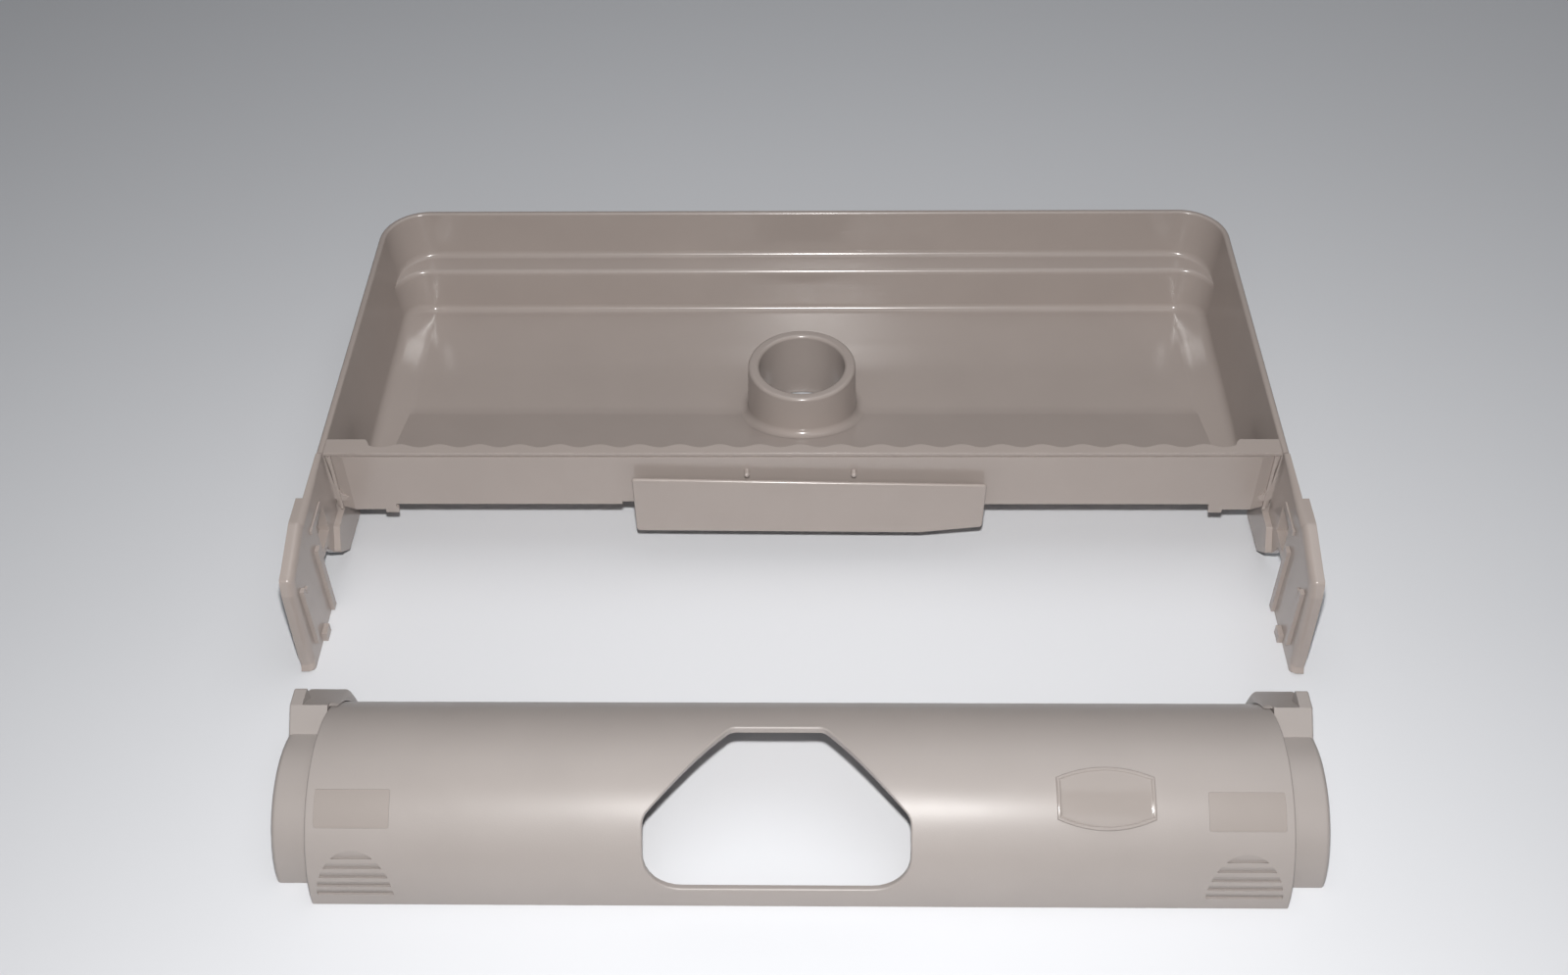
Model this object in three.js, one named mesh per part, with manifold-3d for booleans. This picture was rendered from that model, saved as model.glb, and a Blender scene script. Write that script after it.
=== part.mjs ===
// Carpet sweeper head, laid out for cleaning: a collecting tray with two side arms, and in front
// of it the half-round brush cover that slides in between the arms.
// Millimetres, +Z up, +X along the head, +Y from the cover to the tray. The origin is on the
// table, under the middle of the laid-out pair.
import * as THREE from 'three';
import * as BufferGeometryUtils from 'three/addons/utils/BufferGeometryUtils.js';
import Module from 'manifold-3d';

const wasm = await Module();
wasm.setup();

// ---- driving dimensions -------------------------------------------------------------------
const gap = 0.3; // clearance between two pieces that touch
const wall = 2.5; // moulded wall thickness
const over = 5; // how far a cutting body runs past what it cuts

// Tray: y is measured from the front face of its front wall.
const trayHalfWidth = 188;
const trayDepth = 158.6;
const trayHeight = 53.3;
const trayCorner = 20; // outside radius of the two rear corners
const ledgeHeight = 30; // level of the shelf along the rear wall
const ledgeDepth = 12;
const floorHeight = 8; // top of the flat floor
const floorWall = 2.6;
const pocketCorner = 14; // inside radius of the lower pocket's rear corners
const rampFoot = 73.5; // where the floor starts to rise towards the front wall
const rampSlope = Math.tan(THREE.MathUtils.degToRad(16));
const floorHalfWidth = 182.6; // foot of the side walls, which lean out to the rim
const stripWidth = 12; // sloping border along both sides of the floor
const stripSlope = Math.tan(THREE.MathUtils.degToRad(20));
const frontWallFoot = 25.2;
const sideRise = { top: 22, foot: 42 }; // where the floor border climbs to the front wall

// Spigot
const spigotY = 75.6;
const spigotMouth = 33.4;
const spigotRadius = 23.4;
const spigotTopRadius = 22.8;
const spigotBore = 18.2;
const spigotFoot = 1.5;
const collarFlare = 3.6; // how far the collar at the foot stands out

// Side arms
const armOuter = 190.5;
const armFront = 66.1;

// Flap
const flapThickness = 1.6;
const flapFace = -4.9; // y of its front face
const pegX = 20.8; // the flap hangs on two pegs
const pegHeight = 44;

// Cover: angles are measured about its axis, from +Y (the tray side) over the top.
const coverRadius = 39.2;
const coverWall = 2.2;
const coverHalfLength = 165.8;
const coverAxisHeight = -2.2; // the edges of the shell stand on the table, just above the axis
const capRadius = 31;
const capHalfLength = 179.8;
const lug = {
  radius: 44.6,
  flat: 40.3, // distance of its flat back from the cover's axis
  lean: 52, // angle that this back faces
  step: 175, // beyond this |x| the top of the lug is level
  innerEnd: 163,
  low: 10,
};
const coverOffset = 127.9; // from the front wall of the tray to the axis of the cover

// The pair is centred on the origin. The cover reaches furthest forward where it meets the table.
const coverReach = Math.sqrt(coverRadius ** 2 - coverAxisHeight ** 2);
const trayY = (coverOffset + coverReach - trayDepth) / 2;
const coverY = trayY - coverOffset;

// ---- materials ----------------------------------------------------------------------------
function plastic(color, roughness) {
  return new THREE.MeshStandardMaterial({ color, roughness, metalness: 0 });
}

const trayPlastic = plastic(0x9a908a, 0.32);
const coverPlastic = plastic(0xaaa29b, 0.5);
const labelPlastic = plastic(0xa39a94, 0.6);
const badgePlastic = plastic(0xa89f98, 0.25);

// ---- solids: three.js shapes, joined and cut ------------------------------------------------
function solidOf(geometry) {
  const bare = geometry.clone();
  bare.deleteAttribute('normal');
  bare.deleteAttribute('uv');
  const merged = BufferGeometryUtils.mergeVertices(bare, 1e-4);
  return new wasm.Manifold(new wasm.Mesh({
    numProp: 3,
    vertProperties: new Float32Array(merged.attributes.position.array),
    triVerts: new Uint32Array(merged.index.array),
  }));
}

function geometryOf(solid) {
  const mesh = solid.getMesh();
  const geometry = new THREE.BufferGeometry();
  geometry.setAttribute('position', new THREE.BufferAttribute(mesh.vertProperties, 3));
  geometry.setIndex(new THREE.BufferAttribute(mesh.triVerts, 1));
  return geometry;
}

function joined(...solids) {
  return solids.reduce((sum, solid) => sum.add(solid));
}

function shapeOf(points) {
  return new THREE.Shape(points.map(([a, b]) => new THREE.Vector2(a, b)));
}

function extruded(shape, depth, curveSegments = 8) {
  return new THREE.ExtrudeGeometry(shape, { depth, bevelEnabled: false, curveSegments });
}

// A prism standing along Z, from an outline in (x, y).
function prismZ(shape, z0, z1, curveSegments) {
  return solidOf(extruded(shape, z1 - z0, curveSegments).translate(0, 0, z0));
}

// A prism standing along Z and its mirror image, from the outline of the right-hand one.
function bothSides(points, z0, z1) {
  return [-1, 1].map((side) => prismZ(shapeOf(points.map(([x, y]) => [side * x, y])), z0, z1));
}

// A prism along X, from an outline in (y, z).
function prismX(shape, x0, x1) {
  const turned = new THREE.Matrix4().set(0, 0, 1, x0, 1, 0, 0, 0, 0, 1, 0, 0, 0, 0, 0, 1);
  return solidOf(extruded(shape, x1 - x0).applyMatrix4(turned));
}

// A prism along Y, from an outline in (x, z).
function prismY(shape, y0, y1) {
  const turned = new THREE.Matrix4().set(1, 0, 0, 0, 0, 0, -1, y1, 0, 1, 0, 0, 0, 0, 0, 1);
  return solidOf(extruded(shape, y1 - y0).applyMatrix4(turned));
}

function box(x0, x1, y0, y1, z0, z1) {
  const geometry = new THREE.BoxGeometry(x1 - x0, y1 - y0, z1 - z0);
  return solidOf(geometry.translate((x0 + x1) / 2, (y0 + y1) / 2, (z0 + z1) / 2));
}

function lathe(profile, segments) {
  const points = profile.map(([r, z]) => new THREE.Vector2(r, z));
  return new THREE.LatheGeometry(points, segments).rotateX(Math.PI / 2);
}

function mirrored(geometry) {
  const copy = geometry.clone().scale(-1, 1, 1);
  const order = copy.index.array;
  for (let i = 0; i < order.length; i += 3) {
    [order[i + 1], order[i + 2]] = [order[i + 2], order[i + 1]];
  }
  return copy;
}

// Points along an arc in the (y, z) plane, with angles in degrees.
function arc(radius, from, to, steps) {
  return Array.from({ length: steps + 1 }, (_, i) => {
    const angle = THREE.MathUtils.degToRad(from + (to - from) * i / steps);
    return [radius * Math.cos(angle), radius * Math.sin(angle)];
  });
}

// A curved slab about the cover's axis.
function sector(inner, outer, from, to, x0, x1, steps) {
  const outline = [...arc(outer, from, to, steps), ...arc(inner, to, from, steps)];
  return prismX(shapeOf(outline), x0, x1);
}

// ---- tray ---------------------------------------------------------------------------------
// Plan of the tray or of a pocket in it: square at the front, rounded at the two rear corners.
function trayPlan(halfWidth, front, rear, corner) {
  const shape = new THREE.Shape();
  shape.moveTo(-halfWidth, front);
  shape.lineTo(halfWidth, front);
  shape.lineTo(halfWidth, rear - corner);
  shape.absarc(halfWidth - corner, rear - corner, corner, 0, Math.PI / 2);
  shape.lineTo(corner - halfWidth, rear);
  shape.absarc(corner - halfWidth, rear - corner, corner, Math.PI / 2, Math.PI);
  return shape;
}

// Outline in (x, z) shared by the pockets: dished floor and leaning side walls.
function dishOutline(grow, level) {
  const foot = level + stripWidth * stripSlope;
  const centreHalf = floorHalfWidth - stripWidth;
  const footHalf = floorHalfWidth + grow;
  const rimHalf = trayHalfWidth - wall + grow;
  return shapeOf([
    [-footHalf, foot], [-centreHalf, level], [centreHalf, level], [footHalf, foot],
    [rimHalf, trayHeight], [rimHalf, trayHeight + over],
    [-rimHalf, trayHeight + over], [-rimHalf, trayHeight],
  ]);
}

// The body under the shelf, grown by `grow` on all sides: the pocket itself, or its outside.
function lowerBody(grow, front, ledge) {
  const level = floorHeight - (grow ? floorWall : 0);
  const rear = trayDepth - wall - ledgeDepth + grow;
  const centreHalf = floorHalfWidth - stripWidth;
  const rampTop = level + (rampFoot - front) * rampSlope;
  const rearFloor = [[rear, level], [rear, ledge], [front, ledge]];
  const lap = 0.01; // the centre reaches this far into the borders
  const centre = prismX(
    shapeOf([[front, rampTop], [rampFoot, level], ...rearFloor]),
    -centreHalf - lap, centreHalf + lap,
  );
  const edgeOutline = shapeOf([
    [front, rampTop], [sideRise.top, rampTop], [sideRise.foot, level], ...rearFloor,
  ]);
  const borders = joined(
    prismX(edgeOutline, -trayHalfWidth, -centreHalf),
    prismX(edgeOutline, centreHalf, trayHalfWidth),
  );
  const dish = prismY(dishOutline(grow, level), front, rear);
  const shelfHalf = floorHalfWidth + 1.3; // half-width between the walls at the shelf
  const corners = prismZ(
    trayPlan(shelfHalf + grow, front, rear, pocketCorner + grow), 0, ledge,
  );
  return joined(centre, borders.intersect(dish)).intersect(corners);
}

// Features along the front wall and under the floor
const wallNotch = { from: -70.8, to: 66, rise: 3 }; // in the wall's lower edge, behind the flap
const wallEnds = { from: 161.5, foot: 22.2 }; // where the wall reaches lower
const wallTabs = { centres: [-163.5, 164.5], halfWidth: 2.7, depth: 2, foot: 20.2 };
const endSlant = { from: 178.2, to: 182.9, depth: 1.6 }; // the wall's face falls back to a thin rib
const endRib = 1.2; // thickness of this rib
const runners = { x: 110, halfWidth: 2, from: 82, to: 138 };

// Cuts that shape the two ends of the front wall: a slanted face, a thin rib and a groove.
function wallEndCuts(reach) {
  const { from, to, depth } = endSlant;
  const ribEnd = to + endRib;
  return [
    ...bothSides([[from, 0], [to, depth], [to, -over], [from, -over]], 0, trayHeight),
    ...bothSides([[ribEnd, -over], [reach, -over], [reach, depth], [ribEnd, depth]], 0, trayHeight),
  ];
}

function trayPan() {
  const inner = trayHalfWidth - wall;
  const upper = trayPlan(trayHalfWidth, 0, trayDepth, trayCorner);
  const upperInside = trayPlan(inner, wall, trayDepth - wall, trayCorner - wall);
  const outside = joined(
    prismZ(upper, ledgeHeight - wall, trayHeight),
    lowerBody(wall, 0, ledgeHeight),
    box(-inner, inner, 0, wall, frontWallFoot, ledgeHeight),
    ...bothSides([
      [wallEnds.from, 0], [inner, 0], [inner, wall], [wallEnds.from, wall],
    ], wallEnds.foot, frontWallFoot + 1),
  );
  const inside = joined(
    prismZ(upperInside, ledgeHeight, trayHeight + over).intersect(
      prismY(dishOutline(0, floorHeight), wall, trayDepth),
    ),
    lowerBody(0, wall, ledgeHeight + 0.01),
  );
  const stripSeat = box(
    -inner, inner, -over, wall + over, trayHeight - frontStrip.height - gap, trayHeight + over,
  );
  const bore = new THREE.CylinderGeometry(spigotRadius + gap, spigotRadius + gap, 60, 48);
  const spigotHole = solidOf(bore.rotateX(Math.PI / 2).translate(0, spigotY, 0));
  const notch = box(
    wallNotch.from, wallNotch.to, -over, wall - 0.1,
    frontWallFoot - over, frontWallFoot + wallNotch.rise,
  );
  const cuts = joined(inside, stripSeat, spigotHole, notch, ...wallEndCuts(inner));
  const tabs = wallTabs.centres.map((x) => box(
    x - wallTabs.halfWidth, x + wallTabs.halfWidth, 0, wallTabs.depth,
    wallTabs.foot, wallEnds.foot + 1,
  ));
  const feet = [-runners.x, runners.x].map((x) => box(
    x - runners.halfWidth, x + runners.halfWidth, runners.from, runners.to, 0, floorHeight - 1,
  ));
  return geometryOf(joined(outside.subtract(cuts), ...tabs, ...feet));
}

// Edging on top of the front wall, with a scalloped edge towards the pocket.
const frontStrip = {
  height: 2,
  front: 0,
  back: 4.2,
  wave: 0.9,
  period: 15.6,
  endBack: 7.8,
  endWidth: 17,
};

function frontRimStrip() {
  const { front, back, wave, period, endBack, endWidth, height } = frontStrip;
  const half = trayHalfWidth - wall - gap;
  const scalloped = half - endWidth;
  const steps = 6 * Math.round(2 * scalloped / period);
  const edge = Array.from({ length: steps + 1 }, (_, i) => {
    const x = scalloped - 2 * scalloped * i / steps;
    return [x, back + wave * Math.cos(2 * Math.PI * x / period)];
  });
  const outline = shapeOf([
    [-half, front], [half, front], [half, endBack], [scalloped + 2, endBack],
    ...edge, [-scalloped - 2, endBack], [-half, endBack],
  ]);
  return extruded(outline, height).translate(0, 0, trayHeight - height);
}

// Hose spigot: a tube with a rolled mouth, and a flared foot that lies on the floor and ramp.
function inletSpigot() {
  const rim = 1.2;
  const collarFoot = floorHeight - 2;
  const collarTop = floorHeight + 10;
  const tube = solidOf(lathe([
    [spigotBore, spigotFoot], [spigotRadius, spigotFoot], [spigotRadius, collarTop],
    [spigotTopRadius, spigotMouth - rim], [spigotTopRadius - rim, spigotMouth],
    [spigotBore + rim, spigotMouth],
    [spigotBore, spigotMouth - rim], [spigotBore, spigotFoot],
  ], 48));
  const collar = solidOf(lathe([
    [spigotRadius - 1, collarFoot], [spigotRadius + collarFlare, collarFoot],
    [spigotRadius + collarFlare, floorHeight + 1],
    [spigotRadius + 0.3 * collarFlare, floorHeight + 4.5],
    [spigotRadius, collarTop], [spigotRadius - 1, collarTop], [spigotRadius - 1, collarFoot],
  ], 48));
  const reach = spigotRadius + collarFlare + 1;
  const rise = (rampFoot - spigotY + reach) * rampSlope;
  const ground = prismX(shapeOf([
    [-reach, 0], [reach, 0], [reach, floorHeight + gap],
    [rampFoot - spigotY, floorHeight + gap], [-reach, floorHeight + gap + rise],
  ]), -reach, reach);
  return geometryOf(tube.add(collar.subtract(ground)));
}

// Side arm, modelled on the left: a plate that carries the line of the tray's side wall forward,
// thickened on the outside, with an arched cut-out for the roller axle and a leg behind it.
function leftArm() {
  const inner = trayHalfWidth - wall;
  const nose = [
    [-38, trayHeight], [-56, 47.6], [-61, 46.4], [-62.7, 39.6], [-64.6, 11], [1.5 - armFront, 3],
    [-armFront, 1], [1 - armFront, 0],
  ];
  const cutOut = [[-31, 0], [-31, 19], [-28, 22]];
  const skin = prismX(
    shapeOf([[-24.7, trayHeight], ...nose, ...cutOut, [-8, 22], [-8, 44], [-24.7, 44]]),
    -armOuter, -trayHalfWidth + 0.1,
  );
  const leg = [[-20, 22], [-19, 19], [-15, 13], [-5, 4], [17, 3], [17, 21.5]];
  const plate = prismX(
    shapeOf([[-gap, trayHeight], ...nose, ...cutOut, ...leg, [-gap, 21.5]]),
    -trayHalfWidth, -inner,
  );
  const recess = box(-armOuter + 1, -inner + over, -26, -14, 25, 38.5);
  const foot = prismX(
    shapeOf([[17, 3], [17, 21.5], [-9, 21.5], [-15, 13], [-5, 4]]),
    -inner - 0.1, -inner + wall,
  );
  const raised = (height, y0, y1, z0, z1) => box(-inner - 0.1, -inner + height, y0, y1, z0, z1);
  const rib = raised(1.6, -58, -55.6, 8, 37);
  const nub = raised(2, -50, -44.5, 0, 4);
  const flange = raised(1.5, -34.4, -31, 0.5, 34);
  const bump = raised(0.8, -53, -51, 31, 33);
  const ridge = raised(0.6, -31.5, -17, 42.4, 43.6);
  const stud = raised(0.9, -33.2, -31.2, 42, 44);
  const body = joined(skin, plate).subtract(recess);
  return geometryOf(joined(body, foot, rib, nub, flange, bump, ridge, stud));
}

// ---- flap ---------------------------------------------------------------------------------
function frontFlap() {
  const outline = shapeOf([
    [-65.5, 14.9], [47.3, 13.8], [72.1, 17.1], [72.5, 40.2], [-65.6, 43.4],
  ]);
  const turned = new THREE.Matrix4().set(
    1, 0, 0, 0,
    0, 0, -1, flapFace + flapThickness,
    0, 1, 0, 0,
    0, 0, 0, 1,
  );
  return extruded(outline, flapThickness).applyMatrix4(turned);
}

// A peg on the front wall that holds the flap's top edge: a stem with a domed head.
function flapPeg() {
  const stem = 1.1;
  const length = 3.2;
  const profile = [
    [0, 0], [stem, 0], [stem, length - 1], [0.85 * stem, length - 0.5],
    [0.5 * stem, length - 0.15], [0, length],
  ];
  const points = profile.map(([r, z]) => new THREE.Vector2(r, z));
  return new THREE.LatheGeometry(points, 12).rotateX(Math.PI);
}

// ---- cover --------------------------------------------------------------------------------
const shellInner = coverRadius - coverWall;
const skinDepth = 0.9; // depth of the label pockets

const labels = { x: 150, halfWidth: 12.7, from: 113.7, to: 132.6 };
const grip = { x: 150, halfWidth: 13, from: 144, to: 170.5, grooves: 5, width: 1.3, depth: 0.8 };
const badge = { x: 103.2, angle: 116.8, halfWidth: 16.5, endHalf: 7, midHalf: 10.6, height: 0.9 };
const cutout = {
  x: -7, halfWidth: 45, topHalf: 14.5, topAngle: 77, bottomAngle: 164.7,
  slant: 0.584, // half-width gained per degree down the slanted sides
  knee: 2.2, // softness of the bend between slanted and upright side
  corner: 13, // radius of the lower corners
};

// A body above the shell with an outline given as [x, angle] pairs, cut square to the skin.
// Each strip between two neighbouring angles is one prism, so the sides follow the curve.
function cutterOf(rows, inner, outer) {
  const strips = [];
  for (let i = 0; i + 1 < rows.length; i += 1) {
    const [a, b] = [rows[i], rows[i + 1]];
    const corners = [a, b].flatMap(({ angle, x0, x1 }) => {
      const t = THREE.MathUtils.degToRad(angle);
      const at = (x, r) => new THREE.Vector3(x, r * Math.cos(t), r * Math.sin(t));
      return [at(x1, inner), at(x0, inner), at(x0, outer), at(x1, outer)];
    });
    strips.push(solidOf(hexahedron(corners)));
  }
  return joined(...strips);
}

function hexahedron(corners) {
  const faces = [
    [0, 1, 2, 3], [7, 6, 5, 4], [0, 4, 5, 1], [1, 5, 6, 2], [2, 6, 7, 3], [3, 7, 4, 0],
  ];
  const geometry = new THREE.BufferGeometry();
  geometry.setFromPoints(corners);
  geometry.setIndex(faces.flatMap(([a, b, c, d]) => [a, b, c, a, c, d]));
  return geometry;
}

// Half-width of the window at an angle: slanted sides that bend into upright ones, and round
// lower corners.
function windowHalf(angle) {
  const { halfWidth, topHalf, topAngle, bottomAngle, slant, knee, corner } = cutout;
  const spread = topHalf + 2 + slant * (angle - topAngle);
  const past = spread - halfWidth;
  const side = angle === topAngle ? topHalf : spread - (past + Math.hypot(past, knee)) / 2;
  const up = THREE.MathUtils.degToRad(bottomAngle - angle) * coverRadius;
  return up < corner ? side - corner + Math.sqrt(corner ** 2 - (corner - up) ** 2) : side;
}

function windowRows() {
  const angles = [0, 2, 22, 36, 42, 46, 50, 55, 68.7, 73, 77, 80.5, 83.5, 86, 87.2, 87.7];
  return angles.map((step) => {
    const angle = cutout.topAngle + step;
    const half = windowHalf(angle);
    return { angle, x0: cutout.x - half, x1: cutout.x + half };
  });
}

function badgeRows(grow) {
  const steps = 10;
  const perMm = THREE.MathUtils.radToDeg(1 / coverRadius);
  const rows = [];
  for (let i = 0; i <= steps; i += 1) {
    const offset = -badge.midHalf + 2 * badge.midHalf * i / steps;
    const past = Math.max(0, (Math.abs(offset) - badge.endHalf) / (badge.midHalf - badge.endHalf));
    const half = badge.halfWidth * Math.sqrt(1 - 0.97 * past ** 1.2);
    const reach = offset * (badge.midHalf + grow) / badge.midHalf;
    rows.push({
      angle: badge.angle + reach * perMm, x0: badge.x - half - grow, x1: badge.x + half + grow,
    });
  }
  return rows;
}

function gripGrooves(side) {
  const span = grip.to - grip.from;
  return Array.from({ length: grip.grooves }, (_, i) => {
    const t = (i + 0.5) / grip.grooves;
    const half = grip.halfWidth * Math.sqrt(1 - (1 - t) ** 2);
    const angle = grip.from + span * t;
    const spread = THREE.MathUtils.radToDeg(grip.width / coverRadius) / 2;
    return sector(
      coverRadius - grip.depth, coverRadius + over, angle - spread, angle + spread,
      side * grip.x - half, side * grip.x + half, 1,
    );
  });
}

// Points along an arc that ends on the table at both sides.
function standingArc(radius, steps) {
  const foot = THREE.MathUtils.radToDeg(Math.asin(-coverAxisHeight / radius));
  return arc(radius, foot, 180 - foot, steps);
}

function coverShell() {
  const outline = [...standingArc(coverRadius, 36), ...standingArc(shellInner, 36).reverse()];
  let shell = prismX(shapeOf(outline), -coverHalfLength, coverHalfLength);
  shell = shell.subtract(cutterOf(windowRows(), shellInner - 3, coverRadius + 3));
  for (const side of [-1, 1]) {
    const x0 = side * labels.x - labels.halfWidth - gap;
    const x1 = side * labels.x + labels.halfWidth + gap;
    shell = shell.subtract(sector(
      coverRadius - skinDepth, coverRadius + over, labels.from - 0.4, labels.to + 0.4, x0, x1, 4,
    ));
    shell = gripGrooves(side).reduce((rest, groove) => rest.subtract(groove), shell);
  }
  return geometryOf(shell);
}

function labelPlate(side) {
  const x = side * labels.x;
  const body = sector(
    coverRadius - skinDepth + gap, coverRadius - 0.05, labels.from, labels.to,
    x - labels.halfWidth, x + labels.halfWidth, 4,
  );
  return geometryOf(body);
}

function badgePlate() {
  const base = coverRadius + gap;
  return geometryOf(cutterOf(badgeRows(0), base, base + badge.height));
}

// End cap, modelled on the left: a flange that plugs into the shell, a smaller half-round cup
// beyond it, notched for the roller shaft, and a lug on the tray side that hooks over the shell.
function leftEndCap() {
  const end = -capHalfLength;
  const flangeStart = -coverHalfLength + gap;
  const flangeEnd = flangeStart + coverWall;
  const round = (radius, x0, x1) => prismX(shapeOf(arc(radius, 0, 180, 24)), x0, x1);
  const body = joined(
    round(capRadius, end, flangeEnd),
    round(shellInner - gap, flangeStart, flangeEnd),
    lugBody(end, -coverHalfLength - gap),
  );
  const hollow = round(capRadius - coverWall, end + coverWall, flangeEnd + over);
  const shaftNotch = round(9, end - over, end + over);
  const below = box(end - over, 0, -lug.radius, lug.radius, -over, -coverAxisHeight);
  return geometryOf(body.subtract(hollow).subtract(shaftNotch).subtract(below));
}

// Points along the back of the lug, which is flat at the top and then round.
function lugBack(from, steps) {
  return Array.from({ length: steps + 1 }, (_, i) => {
    const angle = from + (lug.low - from) * i / steps;
    const flat = lug.flat / Math.cos(THREE.MathUtils.degToRad(angle - lug.lean));
    return arc(Math.min(lug.radius, flat), angle, angle, 1)[0];
  });
}

// The lug: a sloping front face that rises from the cup, a ridge and the back, with a level
// top at the outer end, and at the inner end a hook that laps over the shell.
function lugBody(end, seam) {
  const foot = [[24, 5], [11, 25]];
  const ridge = [21, 34.7];
  const main = prismX(shapeOf([ridge, ...lugBack(30, 6), ...foot]), end + 0.2, seam);
  const level = prismX(
    shapeOf([ridge, [29, 34.4], [29.4, 16], ...foot]), end + 0.2, -lug.step,
  );
  const base = arc(coverRadius + gap, lug.low, 54, 8);
  const hook = prismX(shapeOf([...lugBack(54, 14), ...base]), seam - 0.1, -lug.innerEnd);
  return joined(main, level, hook);
}

// ---- assembly -----------------------------------------------------------------------------
function named(name, geometry, material, x = 0, y = 0, z = 0) {
  const mesh = new THREE.Mesh(geometry, material);
  mesh.name = name;
  mesh.position.set(x, y, z);
  return mesh;
}

function trayGroup() {
  const group = new THREE.Group();
  const arm = leftArm();
  group.position.y = trayY;
  group.add(
    named('tray_pan', trayPan(), trayPlastic),
    named('front_rim_strip', frontRimStrip(), trayPlastic),
    named('inlet_spigot', inletSpigot(), trayPlastic, 0, spigotY),
    named('left_arm', arm, trayPlastic),
    named('right_arm', mirrored(arm), trayPlastic),
    named('front_flap', frontFlap(), trayPlastic),
    named('left_flap_peg', flapPeg(), trayPlastic, -pegX, -gap, pegHeight),
    named('right_flap_peg', flapPeg(), trayPlastic, pegX, -gap, pegHeight),
  );
  return group;
}

function coverGroup() {
  const group = new THREE.Group();
  const cap = leftEndCap();
  group.position.set(0, coverY, coverAxisHeight);
  group.add(
    named('cover_shell', coverShell(), coverPlastic),
    named('left_end_cap', cap, coverPlastic),
    named('right_end_cap', mirrored(cap), coverPlastic),
    named('left_label_plate', labelPlate(-1), labelPlastic),
    named('right_label_plate', labelPlate(1), labelPlastic),
    named('badge_plate', badgePlate(), badgePlastic),
  );
  return group;
}

const head = new THREE.Group();
head.add(trayGroup(), coverGroup());

export default head;
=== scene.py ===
"""Fine meshes, plastics, camera and light for the carpet sweeper head.

Shapes are drawn in millimetres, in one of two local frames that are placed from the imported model:
the tray's (y from the front face of its front wall) and the cover's (y, z from its round axis).
"""

import math

import bmesh
import bpy
from mathutils import Matrix, Vector


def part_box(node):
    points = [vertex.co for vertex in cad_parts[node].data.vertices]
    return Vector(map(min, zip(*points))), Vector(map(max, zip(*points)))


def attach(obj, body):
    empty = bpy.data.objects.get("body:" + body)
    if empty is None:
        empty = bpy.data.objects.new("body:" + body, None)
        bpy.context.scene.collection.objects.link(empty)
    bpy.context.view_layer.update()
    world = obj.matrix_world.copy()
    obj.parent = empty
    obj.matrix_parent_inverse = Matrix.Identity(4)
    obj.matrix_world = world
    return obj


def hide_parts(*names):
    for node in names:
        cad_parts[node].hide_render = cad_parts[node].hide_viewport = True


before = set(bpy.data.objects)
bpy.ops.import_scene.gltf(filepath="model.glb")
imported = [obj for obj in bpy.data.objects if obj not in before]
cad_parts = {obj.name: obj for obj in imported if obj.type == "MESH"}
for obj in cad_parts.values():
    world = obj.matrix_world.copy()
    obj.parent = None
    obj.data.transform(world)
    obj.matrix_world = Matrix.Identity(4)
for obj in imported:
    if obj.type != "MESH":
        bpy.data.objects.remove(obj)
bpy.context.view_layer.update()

MM = 0.001

# ---- driving dimensions, in millimetres ----------------------------------------------------------
GAP = 0.3
WALL = 2.5

# Tray
TRAY_HALF = 188.0
TRAY_DEPTH = 158.6
TRAY_HEIGHT = 53.3
TRAY_CORNER = 20.0
PAN_FRONT = 0.4  # the pan starts just inside the front wall
SHELF = 30.0  # height of the shelf along the rear wall
SHELF_DEPTH = 12.0
FLOOR = 8.0
FLOOR_WALL = 2.6
FLOOR_HALF = 182.6
POCKET_CORNER = 14.0
RAMP_FOOT = 73.5
RAMP_SLOPE = math.tan(math.radians(16))
BORDER = 12.0  # width of the sloping border along the floor's edges
BORDER_SLOPE = math.tan(math.radians(20))
BORDER_RISE_FOOT = 42.0  # y at which the side borders start to climb towards the front wall
BORDER_RISE_TOP = 22.0  # y at which they are level again
WALL_FOOT = 25.2
WALL_END_FOOT = 22.2  # the front wall reaches lower at both ends

# Spigot
SPIGOT_Y = 75.6
SPIGOT_MOUTH = 33.4
SPIGOT_RADIUS = 23.4
SPIGOT_TOP_RADIUS = 22.8
SPIGOT_BORE = 18.2
SPIGOT_FOOT = 1.5

# Arms
ARM_OUTER = 190.5
ARM_FRONT = 66.1

# Flap and its pegs
FLAP_FRONT = -4.9
FLAP_BACK = -3.3
PEG_X = 20.8
PEG_HEIGHT = 44.0

# Cover
COVER_RADIUS = 39.2
COVER_WALL = 2.2
COVER_HALF = 165.8
COVER_FOOT = 2.2  # height of the table above the cover's axis
CAP_RADIUS = 31.0
CAP_HALF = 179.8
LUG_RADIUS = 44.6
LUG_FLAT = 40.3  # distance of the lug's flat back from the cover's axis
LUG_LEAN = 52.0  # angle about the axis that this flat back faces
LUG_LOW = 12.0  # angle at which the lug's round back ends
LUG_INNER = 163.0
LUG_STEP = 175.0  # beyond this the lug is a short, level block
GRIP_X = 150.0  # middle of the label plates and the grip grooves

# Places of the two local frames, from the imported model
TRAY_ORIGIN = Vector((0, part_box("tray_pan")[0].y / MM, 0))
SHELL_LOW, SHELL_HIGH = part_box("cover_shell")
COVER_ORIGIN = Vector((0, (SHELL_LOW.y + SHELL_HIGH.y) / 2 / MM, -COVER_FOOT))


# ---- mesh helpers --------------------------------------------------------------------------------
def new_object(name, points, faces):
    """A mesh object in the scene."""
    mesh = bpy.data.meshes.new(name)
    mesh.from_pydata([tuple(p) for p in points], [], faces)
    obj = bpy.data.objects.new(name, mesh)
    bpy.context.scene.collection.objects.link(obj)
    return obj


JOIN = 0.002  # points that are closer than this become one


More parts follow.
